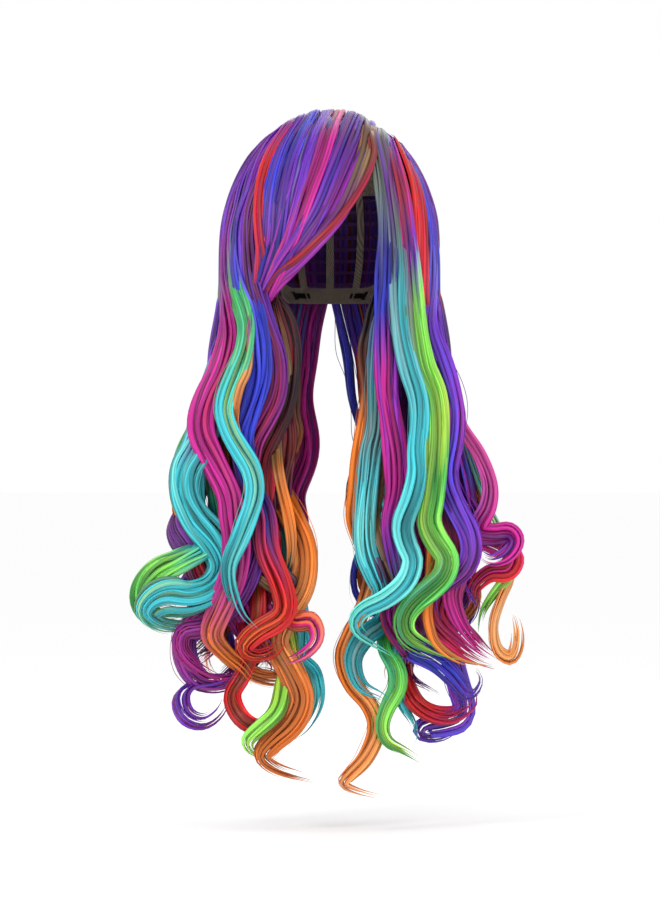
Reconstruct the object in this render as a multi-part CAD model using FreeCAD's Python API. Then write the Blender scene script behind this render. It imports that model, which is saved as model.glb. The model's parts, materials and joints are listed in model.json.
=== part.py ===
"""A long costume wig: a sewn cap with wefts and size adjusters inside, and loose hair outside.

Frame, in millimetres: the origin is the centre of the head space, at brow height.
+Z is up, +Y points to the back of the head, +X to the wearer's left.
The cap is a set of pieces of one ellipsoid, layered outwards: adjusters, cloth, wefts, hair.
"""
import FreeCAD
import Part
import math
import os
from FreeCAD import Matrix, Vector

OUT = "parts"
os.makedirs(OUT, exist_ok=True)

# ---------------------------------------------------------------- driving dimensions
HEAD = (75.0, 94.0, 106.0)        # half width, half depth and height of the head under the cap
CLOTH = (0.0, 1.0)                # cap cloth, measured outwards from the head
WEFT = (1.15, 2.75)               # sewn weft tracks on the cloth
SKIN = (1.1, 1.7)                 # parting patch on the cloth
STAY = (-1.3, -0.15)              # ear tab stays, on the inside of the cloth
HAIR_START = 3.4                  # hair begins this far out from the head
HAIR = (111.0, 114.0, 145.0)      # half sizes of the outer surface of the crown hair
HAIR_CENTRE = (0.0, 6.0, -25.0)
FRINGE_THICK = 9.0
FRINGE_CLEAR = 5.5                # the fringe stays this far out from the head, so that it can lift
WEFT_HEIGHT = 3.5
WEFT_LEVELS = (-66, -54, -42, -30, -18, -6, 8, 20, 31, 44, 58)
RIB_WIDTH = 8.0
RIB_ANGLES = (-58, -40, -20, 0, 20, 40, 58)
FAR = 200.0                       # past everything, for cutting prisms

# The size adjusters turn about one upright axis, the centre of the nape's curve.
NAPE_AXIS = (0.0, 26.6)
NAPE_LOW, NAPE_HIGH = -70.0, -62.0
NAPE_R_LOW, NAPE_R_HIGH = 43.4, 49.0
POCKET_FROM, POCKET_TO, POCKET_PITCH = 6.0, 34.0, 7.0
BRIDGE_ANGLE = 2.0
HOOK_TIP, HOOK_BODY, HOOK_END, STRAP_END = 27.0, 50.0, 56.0, 70.0

# Where the hair hinges: the front hair about lines along Y, the back hair about a line along X.
FRONT_HINGE = (80.0, -75.0)       # x of the hinge on each side, and z
FRONT_CLEAR = 46.0
BACK_HINGE = (50.0, -75.0)        # y and z
BACK_CLEAR = 62.0
FRONT_BACK_SPLIT = -11.0          # the front hair lies before this y
FRINGE_HINGE = (-62.0, 99.0)      # y and z of the line that the fringe lifts about
FACE_RIGHT, FACE_LEFT = -62.0, 49.0   # x of the face opening's sides
PART_LINE = 16.0                  # x where the crown hair parts to each side
CROWN_BACK = 46.0                 # y where the upper back hair begins


# ---------------------------------------------------------------- helpers
def save(name, shape):
    """Writes one node, as its solids only."""
    solids = shape.Solids
    body = solids[0] if len(solids) == 1 else Part.makeCompound(solids)
    body.exportStep(os.path.join(OUT, name + ".step"))
    state = "ok" if body.isValid() and solids else "BAD"
    print(f"{name:26s} {state} solids {len(solids)} volume {body.Volume:10.1f}")


def ellipsoid(half, centre=(0.0, 0.0, 0.0)):
    stretch = Matrix()
    stretch.A11, stretch.A22, stretch.A33 = half
    stretch.A14, stretch.A24, stretch.A34 = centre
    return Part.makeSphere(1.0).transformGeometry(stretch)


def head_form(offset):
    return ellipsoid([h + offset for h in HEAD])


def layer(prism, span):
    """The part of the cap's layer from span[0] to span[1] that lies inside a prism."""
    return head_form(span[1]).common(prism).cut(head_form(span[0]))


def side_prism(outline, x_from=-FAR, x_to=FAR):
    """An outline of (y, z) points in the side view, drawn out along X."""
    points = [Vector(x_from, y, z) for y, z in outline]
    face = Part.Face(Part.makePolygon(points + points[:1]))
    return face.extrude(Vector(x_to - x_from, 0, 0))


def front_prism(outline, y_from=-FAR, y_to=0.0):
    """An outline of (x, z) points in the front view, drawn out along Y."""
    points = [Vector(x, y_from, z) for x, z in outline]
    face = Part.Face(Part.makePolygon(points + points[:1]))
    return face.extrude(Vector(0, y_to - y_from, 0))


def box(x, y, z):
    """A box from three (low, high) pairs."""
    corner = Vector(x[0], y[0], z[0])
    return Part.makeBox(x[1] - x[0], y[1] - y[0], z[1] - z[0], corner)


def mirrored(shape):
    return shape.mirror(Vector(0, 0, 0), Vector(1, 0, 0))


# ---------------------------------------------------------------- cap cloth
# Side-view corners. The front rim runs from over the forehead down to the ear tab.
RIM_SLOPE = 22.0 / 72.0           # how far the front rim moves back for each mm down
RIM_TOP = (-69.0, 72.0)
BAND_SHIFT = (15.3, 4.7)          # from the front rim to the band's rear edge
CROWN_LOW = 36.0
TAB_TOP, SIDE_LOW = 4.0, 5.2


def rim(z):
    """(y, z) of the front rim at a height."""
    return (RIM_TOP[0] + (RIM_TOP[1] - z) * RIM_SLOPE, z)


def band_rear(z):
    """(y, z) of the front band's rear edge at a height."""
    top = (RIM_TOP[0] + BAND_SHIFT[0], RIM_TOP[1] + BAND_SHIFT[1])
    return (top[0] + (top[1] - z) * RIM_SLOPE, z)


def front_band():
    return layer(side_prism([rim(118), rim(SIDE_LOW), band_rear(SIDE_LOW), band_rear(118)]), CLOTH)


def crown_net():
    return layer(side_prism([band_rear(118), band_rear(CROWN_LOW), (FAR, CROWN_LOW), (FAR, 118)]), CLOTH)


def side_net():
    outline = [band_rear(SIDE_LOW), band_rear(CROWN_LOW), (24, CROWN_LOW), (24, SIDE_LOW)]
    return layer(side_prism(outline, x_from=0), CLOTH)


def ear_tab():
    front = [rim(TAB_TOP), (-47, 0), (-41, -26), (-36, -33)]
    outline = front + [(-27, -33), (-20, -20), (-14, -2), (-14, TAB_TOP)]
    return layer(side_prism(outline, x_from=0), CLOTH)


def ear_stay():
    return layer(side_prism([(-34, 1), (-31.5, 1), (-30, -28), (-32.5, -28)], x_from=0), STAY)


def nape_band():
    lower_rim = [(24, CROWN_LOW), (24, 2), (30, -24), (36, -50), (44, -74), (FAR, -74)]
    upper_edge = [(FAR, -58), (62, -58), (50, -46), (44, -20), (38, 5), (38, CROWN_LOW)]
    return layer(side_prism(lower_rim + upper_edge), CLOTH)


def cap_rib(angle):
    """One upright stretch strip of the open back, at an angle from straight back."""
    slab = box((-RIB_WIDTH / 2, RIB_WIDTH / 2), (0, FAR), (-80, CROWN_LOW))
    slab.rotate(Vector(0, 0, 0), Vector(0, 0, 1), angle)
    edge = [(38, CROWN_LOW), (38, 5), (44, -20), (50, -46), (62, -58)]
    window = side_prism(edge + [(FAR, -58), (FAR, CROWN_LOW)])
    return layer(slab.common(window), CLOTH)


def parting_skin():
    """The smooth patch that shows where the hair parts, from the hairline back to the crown."""
    corners = [Vector(56, -52, 0), Vector(40, -58, 0), Vector(4, 6, 0), Vector(22, 12, 0)]
    patch = Part.Face(Part.makePolygon(corners + corners[:1])).extrude(Vector(0, 0, FAR))
    return layer(patch, SKIN)


def weft(level):
    """One sewn track round the head, open at the front, or at the ears if it is low."""
    slab = box((-FAR, FAR), (-FAR, FAR), (level - WEFT_HEIGHT / 2, level + WEFT_HEIGHT / 2))
    behind_ear = [(25, SIDE_LOW), (31, -24), (37, -50), (45, -74)]
    behind_rim = [rim(120), rim(SIDE_LOW)] + behind_ear + [(FAR, -74), (FAR, 120)]
    top_limit = side_prism([(-20, 120), (-20, 40), (FAR, 40), (FAR, 120)])
    track = slab.common(side_prism(behind_rim))
    if level > 40:
        track = slab.common(top_limit)
    return layer(track, WEFT)


# ---------------------------------------------------------------- size adjusters at the nape
def nape_ring(inner, outer, low, high, start, stop):
    """A ring sector between two angles, whose wall leans as the nape does.

    inner and outer are measured inwards from the cap's cloth; angles run from straight
    back towards the wearer's left."""
    lean = (NAPE_R_HIGH - NAPE_R_LOW) / (NAPE_HIGH - NAPE_LOW)

    def radius(z, depth):
        return NAPE_R_LOW + (z - NAPE_LOW) * lean - depth

    corners = [(radius(low, inner), low), (radius(low, outer), low),
               (radius(high, outer), high), (radius(high, inner), high)]
    points = [Vector(0, NAPE_AXIS[1] + r, z) for r, z in corners]
    face = Part.Face(Part.makePolygon(points + points[:1]))
    axis = Vector(NAPE_AXIS[0], NAPE_AXIS[1], 0)
    face.rotate(axis, Vector(0, 0, 1), -start)
    return face.revolve(axis, Vector(0, 0, 1), -(stop - start))


def adjuster_pockets():
    """A stitched row of pockets: a backing, two edge rails and bridges that the hook passes under."""
    parts = [nape_ring(0.6, 0.1, NAPE_LOW, NAPE_HIGH, POCKET_FROM, POCKET_TO)]
    for low, high in ((NAPE_LOW, NAPE_LOW + 1.0), (NAPE_HIGH - 1.0, NAPE_HIGH)):
        parts.append(nape_ring(2.4, 0.3, low, high, POCKET_FROM, POCKET_TO))
    count = int((POCKET_TO - POCKET_FROM) / POCKET_PITCH) + 1
    for i in range(count):
        start = POCKET_FROM + i * (POCKET_TO - POCKET_FROM - BRIDGE_ANGLE) / (count - 1)
        parts.append(nape_ring(2.9, 2.2, NAPE_LOW, NAPE_HIGH, start, start + BRIDGE_ANGLE))
    return parts[0].multiFuse(parts[1:]).removeSplitter()


def strap_hook():
    """A flat tongue that slides under the bridges, on a wider buckle that holds the strap."""
    tongue = nape_ring(1.9, 0.9, NAPE_LOW + 1.4, NAPE_HIGH - 1.4, HOOK_TIP, HOOK_BODY + 0.5)
    buckle = nape_ring(2.6, 0.4, NAPE_LOW, NAPE_HIGH, HOOK_BODY, HOOK_END)
    slot = nape_ring(3.0, 0.0, NAPE_LOW + 1.6, NAPE_HIGH - 1.6, HOOK_END - 3.0, HOOK_END - 1.5)
    return tongue.fuse(buckle).cut(slot).removeSplitter()


def strap_elastic():
    return nape_ring(1.9, 0.9, NAPE_LOW + 0.6, NAPE_HIGH - 0.6, HOOK_END, STRAP_END)


# ---------------------------------------------------------------- crown hair and fringe
FRINGE_NORMAL = (-0.62, 0.785)    # outwards at the fringe's hinge line, in the side view


def over_fringe(shift):
    """The side-view half behind the plane that the fringe hangs from, moved back by shift."""
    y, z = FRINGE_HINGE
    ny, nz = FRINGE_NORMAL
    inner = (y - 90 * ny + nz * shift, z - 90 * nz - ny * shift)
    outer = (y + 90 * ny + nz * shift, z + 90 * nz - ny * shift)
    return [inner, outer, (outer[0], 260), (260, 260), (260, inner[1])]


def hair_shell():
    return ellipsoid(HAIR, HAIR_CENTRE).cut(head_form(HAIR_START))


def hair_gaps():
    """What the crown hair leaves open: the face, and the room that the hanging hair turns in."""
    x, z = FRONT_HINGE
    depth = FRONT_BACK_SPLIT + FAR
    turning = [Part.makeCylinder(FRONT_CLEAR, depth, Vector(side * x, -FAR, z), Vector(0, 1, 0))
               for side in (-1, 1)]
    turning.append(Part.makeCylinder(BACK_CLEAR, 2 * FAR, Vector(-FAR, *BACK_HINGE), Vector(1, 0, 0)))
    below_front = box((-FAR, FAR), (-FAR, FRONT_BACK_SPLIT), (-FAR, z))
    below_back = box((-FAR, FAR), (FRONT_BACK_SPLIT - 1, FAR), (-FAR, z))
    ahead = box((-FAR, FAR), (-FAR, FAR), (-FAR, FAR)).cut(side_prism(over_fringe(0.6)))
    face = box((FACE_RIGHT - 0.8, FACE_LEFT), (-FAR, -20), (-FAR, FAR)).common(ahead)
    back_turning = turning[2].cut(box((-FAR, FAR), (-FAR, FRONT_BACK_SPLIT), (-FAR, FAR)))
    return [turning[0], turning[1], back_turning, below_front, below_back, face]


def crown_pieces():
    """The four solids of hair that lie on the cap, in the order right, left, back right, back left."""
    shell = hair_shell()
    for gap in hair_gaps():
        shell = shell.cut(gap)
    gap = 0.25
    front_right = box((-FAR, PART_LINE - gap), (-FAR, CROWN_BACK - gap), (-FAR, FAR))
    front_left = box((PART_LINE + gap, FAR), (-FAR, CROWN_BACK - gap), (-FAR, FAR))
    back_right = box((-FAR, -gap), (CROWN_BACK + gap, FAR), (-FAR, FAR))
    back_left = box((gap, FAR), (CROWN_BACK + gap, FAR), (-FAR, FAR))
    return [shell.common(part) for part in (front_right, front_left, back_right, back_left)]


# The fringe sweeps from the parting down to the right cheek. Its three locks lie one below another,
# between these lines, each from the hinge line to the side of the face.
FRINGE_LINES = (
    [(-62, 104), (-62, 36)],
    [(4, 110), (-20, 66), (-42, 20), (-62, -22)],
    [(28, 110), (12, 68), (-12, 18), (-36, -18), (-62, -42)],
    [(48, 110), (47, 74), (33, 52), (16, 12), (-2, -12), (-21, -33), (-46, -50), (-62, -57)],
)


def fringe_lock(upper, lower):
    outer = ellipsoid(HAIR, HAIR_CENTRE)
    inner = ellipsoid([h - FRINGE_THICK for h in HAIR], HAIR_CENTRE).fuse(head_form(FRINGE_CLEAR))
    raised = [(x, z + 0.4) for x, z in lower]
    outline = raised + list(reversed(upper))
    hung = box((-FAR, FAR), (-FAR, -20), (-FAR, FAR)).cut(side_prism(over_fringe(0.0)))
    return outer.common(front_prism(outline)).common(hung).cut(inner)


# ---------------------------------------------------------------- hanging locks
# Each lock is a route of (x, y, z, half width, half thickness), from its top to its tip.
# The front and side locks of the two sides differ, so each side has its own list.
RIGHT_LOCKS = {
    "front_lock_right_inner": [
        (-52, -66, -58, 11, 7), (-51, -73, -110, 13, 8), (-49, -77, -172, 13, 9), (-43, -78, -232, 13, 9),
        (-40, -80, -290, 13, 9), (-42, -80, -350, 13, 9), (-44, -78, -405, 12, 9), (-38, -76, -455, 11, 8),
        (-36, -74, -495, 9, 7), (-52, -72, -530, 7, 5), (-40, -70, -552, 4, 3)],
    "front_lock_right_middle": [
        (-79, -56, -58, 12, 8), (-79, -61, -110, 13, 9), (-83, -62, -172, 14, 10), (-85, -60, -232, 15, 11),
        (-80, -62, -290, 15, 11), (-82, -60, -350, 16, 12), (-90, -58, -405, 16, 12), (-92, -58, -450, 14, 11),
        (-86, -58, -490, 8, 7)],
    "front_lock_right_outer": [
        (-101, -32, -60, 11, 7), (-104, -36, -110, 12, 8), (-117, -38, -172, 13, 9), (-128, -38, -232, 14, 10),
        (-126, -38, -290, 15, 11), (-134, -37, -350, 17, 13), (-140, -37, -395, 17, 13), (-138, -37, -440, 13, 11),
        (-134, -38, -480, 7, 6)],
    "side_lock_right": [
        (-104, 12, -60, 12, 7), (-108, 12, -110, 13, 8), (-124, 12, -172, 14, 9), (-140, 12, -232, 15, 10),
        (-146, 12, -290, 16, 12), (-166, 12, -340, 18, 14), (-172, 12, -385, 18, 14), (-150, 14, -430, 14, 11),
        (-138, 16, -470, 7, 6)],
}
LEFT_LOCKS = {
    "front_lock_left_inner": [
        (51, -68, -58, 10, 6), (50, -74, -110, 12, 8), (47, -77, -172, 12, 9), (45, -78, -232, 12, 9),
        (47, -80, -290, 13, 9), (56, -80, -350, 14, 9), (45, -78, -400, 13, 9), (30, -76, -445, 11, 8),
        (36, -74, -490, 9, 7), (42, -72, -530, 7, 5), (34, -70, -564, 4, 3)],
    "front_lock_left_middle": [
        (79, -56, -58, 12, 8), (79, -61, -110, 13, 9), (83, -62, -172, 14, 10), (86, -60, -232, 15, 11),
        (86, -62, -290, 15, 11), (94, -60, -350, 16, 12), (84, -58, -405, 16, 12), (76, -58, -455, 14, 11),
        (84, -58, -515, 8, 7)],
    "front_lock_left_outer": [
        (101, -32, -60, 11, 7), (106, -36, -110, 12, 8), (114, -38, -172, 13, 9), (120, -38, -232, 14, 10),
        (124, -38, -290, 15, 11), (138, -37, -350, 17, 13), (130, -37, -400, 17, 13), (126, -37, -450, 15, 12),
        (124, -38, -500, 8, 7)],
    "side_lock_left": [
        (104, 12, -60, 12, 7), (109, 12, -110, 13, 8), (122, 12, -172, 14, 9), (142, 12, -232, 15, 10),
        (152, 12, -290, 16, 12), (168, 12, -345, 18, 14), (172, 12, -395, 18, 14), (164, 14, -435, 14, 11),
        (140, 16, -480, 7, 6)],
}
# The back locks of the left side mirror these.
BACK_LOCKS = {
    "back_lock_right_outer": [
        (-92, 48, -60, 12, 7), (-96, 50, -110, 13, 8), (-106, 50, -172, 14, 9), (-118, 50, -232, 14, 10),
        (-124, 50, -290, 15, 11), (-130, 50, -350, 15, 12), (-128, 50, -400, 13, 10), (-120, 50, -440, 8, 7)],
    "back_lock_right_middle": [
        (-66, 80, -70, 12, 7), (-71, 82, -110, 13, 8), (-80, 82, -172, 14, 9), (-88, 82, -232, 15, 10),
        (-92, 82, -290, 15, 11), (-96, 82, -350, 15, 12), (-94, 82, -410, 13, 10), (-88, 82, -460, 8, 7)],
    "back_lock_right_inner": [
        (-30, 98, -70, 12, 7), (-36, 98, -110, 13, 8), (-45, 98, -172, 14, 9), (-52, 98, -232, 14, 10),
        (-57, 98, -290, 14, 11), (-61, 98, -350, 14, 11), (-60, 98, -410, 12, 10), (-56, 98, -470, 7, 6)],
}


def mirrored_locks(locks):
    """The same locks on the wearer's left."""
    return {name.replace("right", "left"): [(-x, *rest) for x, *rest in route] for name, route in locks.items()}


def lock(route):
    """A lock as one loft of flat-lying ellipses, whose wide side follows the curve of the head."""
    rings = []
    for x, y, z, wide, thin in route:
        turn = math.degrees(math.atan2(-x / HAIR[0] ** 2, (y - HAIR_CENTRE[1]) / HAIR[1] ** 2))
        ring = Part.Ellipse(Vector(0, 0, 0), wide, thin).toShape()
        ring.rotate(Vector(0, 0, 0), Vector(0, 0, 1), turn)
        ring.translate(Vector(x, y, z))
        rings.append(Part.Wire([ring]))
    return Part.makeLoft(rings, True, False)


# ---------------------------------------------------------------- build
def both_sides(name, shape):
    save(name + "_left", shape)
    save(name + "_right", mirrored(shape))


def main():
    save("front_band", front_band())
    save("crown_net", crown_net())
    save("nape_band", nape_band())
    save("parting_skin", parting_skin())
    both_sides("side_net", side_net())
    both_sides("ear_tab", ear_tab())
    both_sides("ear_stay", ear_stay())
    for number, angle in enumerate(RIB_ANGLES, start=1):
        save(f"cap_rib_{number}", cap_rib(angle))
    for number, level in enumerate(WEFT_LEVELS, start=1):
        save(f"weft_{number:02d}", weft(level))
    both_sides("adjuster_pockets", adjuster_pockets())
    both_sides("strap_hook", strap_hook())
    both_sides("strap_elastic", strap_elastic())
    names = ("crown_hair_right", "crown_hair_left", "upper_back_hair_right", "upper_back_hair_left")
    for name, piece in zip(names, crown_pieces()):
        save(name, piece)
    for name, upper, lower in zip(("upper", "middle", "lower"), FRINGE_LINES, FRINGE_LINES[1:]):
        save(f"fringe_{name}", fringe_lock(upper, lower))
    locks = {**RIGHT_LOCKS, **LEFT_LOCKS, **BACK_LOCKS, **mirrored_locks(BACK_LOCKS)}
    for name, route in locks.items():
        save(name, lock(route))


main()
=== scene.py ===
"""Looks of a long, wavy, multicoloured costume wig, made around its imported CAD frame.

The hair is drawn as locks. Each lock follows a route, and is a bundle of closed, ridged wisps
that taper to their tips. Routes are in millimetres in the frame of the part, and every mesh is
in metres: +Z is up, +Y is the back of the head, +X is the wearer's left.
"""
import bpy
import json
import math
import zlib
import numpy as np
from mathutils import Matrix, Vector


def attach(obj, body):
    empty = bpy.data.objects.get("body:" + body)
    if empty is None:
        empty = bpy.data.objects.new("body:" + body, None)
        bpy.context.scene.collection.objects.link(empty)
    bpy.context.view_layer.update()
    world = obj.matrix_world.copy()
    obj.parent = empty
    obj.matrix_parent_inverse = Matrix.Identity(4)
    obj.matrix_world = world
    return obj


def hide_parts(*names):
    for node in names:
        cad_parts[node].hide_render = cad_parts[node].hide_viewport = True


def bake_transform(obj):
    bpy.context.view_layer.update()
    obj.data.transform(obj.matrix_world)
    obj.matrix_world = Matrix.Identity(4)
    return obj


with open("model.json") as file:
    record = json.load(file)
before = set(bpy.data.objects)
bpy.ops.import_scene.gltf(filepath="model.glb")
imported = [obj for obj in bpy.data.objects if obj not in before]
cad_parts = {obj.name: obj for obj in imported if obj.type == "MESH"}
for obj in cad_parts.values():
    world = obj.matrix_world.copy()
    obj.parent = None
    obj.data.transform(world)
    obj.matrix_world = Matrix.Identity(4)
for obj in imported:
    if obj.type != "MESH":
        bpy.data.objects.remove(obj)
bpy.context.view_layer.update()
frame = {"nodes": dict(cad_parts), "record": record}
MM = 0.001

# ---- the shape of the head of hair
HAIR = np.array([111.0, 114.0, 145.0])  # half sizes of the crown hair's outer surface
HAIR_CENTRE = np.array([0.0, 6.0, -25.0])
CAP = np.array([78.6, 97.6, 109.6])  # half sizes of the cap with its wefts on
RIM_TOP = (-69.0, 72.0)  # y and z of the front rim over the forehead
RIM_SLOPE = 22.0 / 72.0
HAIR_LOW = -58.0  # z where the hair leaves the crown and hangs

RINGS = 90  # sections along a lock
SIDES = 5  # corners round a wisp
STRAY_SIDES = 4  # corners round a stray strand
FULLNESS = 1.06  # how much wider a front lock is than its table says
WISP_PITCH = 1.7  # width of a lock for each of its wisps

# How routes are made.
ROOT_LIFT = 0.955  # height of a root, as a share of the crown's surface
CROWN_LIFT = 0.965  # height of a lock over the crown
CROWN_STEPS = 6  # points of a route over the crown
CROWN_ENDS = -40.0  # z where a front lock starts to leave the crown's curve
CROWN_GONE = -80.0  # z where it has left it
CURL_DEPTH = 11.0  # how far a curl moves to and fro in depth
CURL_GROWS_OVER = 150.0  # the length over which it grows to that
POINTS_PER_SPAN = 16  # of the curve between two points of a route
SOFTENING_PASSES = 6  # that round a route's bends
CARRIED_BELOW = -20.0  # z where a lock's facing is no longer set by the crown
LEAN = 0.14  # how much a hanging lock turns back to its facing
DEEPEST_FRONT = 30.0  # y behind which no front lock is set

# How the wisps of a lock differ: each pair is the least and the most.
SIDE_JITTER = (-0.12, 0.12)  # sideways, in half widths of the lock
STRAY_SIDE = (-1.3, 1.3)  # where a stray strand lies across the lock
RISE = (-0.55, 0.6)  # outwards, in half thicknesses of the lock
SWAY = (0.03, 0.13)  # sideways wave, in half widths of the lock
STRAY_SWAY = 2.6  # how much more a stray strand waves
SWAY_PERIOD = (80, 150)  # length of that wave
WISP_SPAN = ((0.0, 0.05), (0.92, 1.0))  # where it starts and ends, as shares of the lock
STRAY_SPAN = ((0.05, 0.4), (0.75, 1.0))
OVERLAP = (1.1, 2.0)  # half width, in spacings between wisps
THICKNESS = (0.8, 1.1)  # of a wisp, against its usual one
STRAY_HALF = 0.34  # half the thickness of a stray strand
TWIST = (-0.35, 0.35)  # turn about its own length
RIDGES = (-0.24, 0.2)  # how far its corners stand in or out
COLOUR_SHIFT = (-0.035, 0.035)  # of its colours along the lock
SHADES = (0.45, 1.15)  # brightness, against the palette
ACCENT_SHARE = 0.3  # share of wisps in an accent colour
ACCENT_STRENGTH = 0.7  # how far those take it

PALETTE = {
    "black": (34, 18, 28), "maroon": (112, 14, 30), "red": (218, 24, 30), "crimson": (184, 28, 72),
    "magenta": (194, 20, 140), "pink": (212, 70, 158), "plum": (136, 34, 148), "violet": (106, 42, 180),
    "indigo": (62, 24, 114), "blue": (52, 66, 216), "navy": (42, 34, 138), "sky": (104, 104, 222),
    "steel": (112, 126, 124), "teal": (24, 128, 136), "aqua": (58, 192, 204), "pale": (118, 214, 204),
    "green": (60, 168, 74), "mint": (74, 188, 142), "apple": (136, 220, 84), "lime": (168, 206, 66),
    "olive": (132, 108, 70), "brown": (118, 62, 38), "orange": (236, 122, 34), "peach": (240, 166, 98),
}


def linear(rgb):
    """An sRGB colour in 0 to 255 as linear light."""
    c = np.array(rgb, float) / 255.0
    return np.where(c <= 0.04045, c / 12.92, ((c + 0.055) / 1.055) ** 2.4)


COLOUR = {name: linear(rgb) for name, rgb in PALETTE.items()}


# ---- routes
def to_sphere(point):
    """The point in a space where the crown's outer surface is a sphere about the origin."""
    return (np.asarray(point, float) - HAIR_CENTRE) / HAIR


def on_front(x, z, lift):
    """The point of the hair's front surface at (x, z), scaled in or out by lift."""
    u, w = x / (HAIR[0] * lift), (z - HAIR_CENTRE[2]) / (HAIR[2] * lift)
    depth = math.sqrt(max(0.0, 1.0 - u * u - w * w))
    return np.array([x, HAIR_CENTRE[1] - HAIR[1] * lift * depth, z])


def over_crown(root, first):
    """Points from a root on the crown, round the head, towards the first hanging point."""
    a, b = to_sphere(root), to_sphere(first)
    end_lift = np.linalg.norm(b)
    a, b = a / np.linalg.norm(a), b / end_lift
    angle = math.acos(float(np.clip(a @ b, -1, 1)))
    points = []
    for k in range(CROWN_STEPS):
        f = k / CROWN_STEPS
        way = (math.sin((1 - f) * angle) * a + math.sin(f * angle) * b) / math.sin(angle)
        lift = np.interp(f, (0, 0.3, 0.7, 1), (ROOT_LIFT, CROWN_LIFT, CROWN_LIFT, end_lift))
        points.append(HAIR_CENTRE + HAIR * way * lift)
    return points


def over_top(x, y, lift=ROOT_LIFT):
    """A root on top of the head, behind the front view's skyline."""
    u, v = x / (HAIR[0] * lift), (y - HAIR_CENTRE[1]) / (HAIR[1] * lift)
    return np.array([x, y, HAIR_CENTRE[2] + HAIR[2] * lift * math.sqrt(1 - u * u - v * v)])


def front_route(points, depth):
    """Front-view points in space: on the crown's surface, then hanging as a curl.

    depth is y below the crown and at the tip. Where the hair hangs, a sideways run goes with a
    move in depth, which turns the flat wave of the front view into a curl."""
    flat = np.array(points, float)
    low = np.clip((CROWN_ENDS - flat[:, 1]) / (CROWN_ENDS - CROWN_GONE), 0, 1)
    reach = np.clip((HAIR_LOW - flat[:, 1]) / (HAIR_LOW - flat[-1, 1]), 0, 1)
    slope = np.gradient(flat[:, 0]) / (np.abs(np.gradient(flat[:, 1])) + 14.0)
    grow = np.clip((HAIR_LOW - flat[:, 1]) / CURL_GROWS_OVER, 0, 1)
    hang = depth[0] + (depth[1] - depth[0]) * reach + CURL_DEPTH * np.clip(slope, -1.4, 1.4) * grow
    route = []
    for (x, z), share, y in zip(flat, low, hang):
        on = on_front(x, max(z, CROWN_GONE), CROWN_LIFT)[1]
        route.append(np.array([x, on + (y - on) * share, z]))
    return route


def smooth_route(points):
    """A softened Catmull-Rom curve through the points, evenly sampled, and its length."""
    p = np.array(points, float)
    p = np.vstack([2 * p[0] - p[1], p, 2 * p[-1] - p[-2]])
    fine = []
    for i in range(1, len(p) - 2):
        f = np.linspace(0, 1, POINTS_PER_SPAN, endpoint=False)[:, None]
        a, b, c, d = p[i - 1], p[i], p[i + 1], p[i + 2]
        fine.append(0.5 * (2 * b + (c - a) * f + (2 * a - 5 * b + 4 * c - d) * f ** 2
                           + (3 * b - a - 3 * c + d) * f ** 3))
    fine = np.vstack(fine + [p[-2][None]])
    for _ in range(SOFTENING_PASSES):
        fine[1:-1] = 0.25 * fine[:-2] + 0.5 * fine[1:-1] + 0.25 * fine[2:]
    run = np.concatenate([[0], np.cumsum(np.linalg.norm(np.diff(fine, axis=0), axis=1))])
    even = np.linspace(0, run[-1], RINGS)
    return np.stack([np.interp(even, run, fine[:, k]) for k in range(3)], axis=1), run[-1]


def frames_along(path):
    """Unit vectors across the route and outwards. Where the hair hangs, the outward one is carried
    down the lock without twisting, and leans back to the way the lock should face."""
    along = np.gradient(path, axis=0)
    along /= np.linalg.norm(along, axis=1)[:, None]
    out = (path - HAIR_CENTRE) / HAIR ** 2
    out /= np.linalg.norm(out, axis=1)[:, None]
    faces = (path - HAIR_CENTRE) * np.array([1, 1, 0])
    faces[:, 0] *= np.interp(path[:, 1], (-45, 5), (0.25, 1))
    faces /= np.linalg.norm(faces, axis=1)[:, None] + 1e-6
    hangs = path[:, 2] < CARRIED_BELOW
    for i in range(len(out)):
        if hangs[i] and i > 0:
            out[i] = (1 - LEAN) * out[i - 1] + LEAN * faces[i]
        out[i] -= (out[i] @ along[i]) * along[i]
        out[i] /= np.linalg.norm(out[i])
    return np.cross(along, out), out


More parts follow.
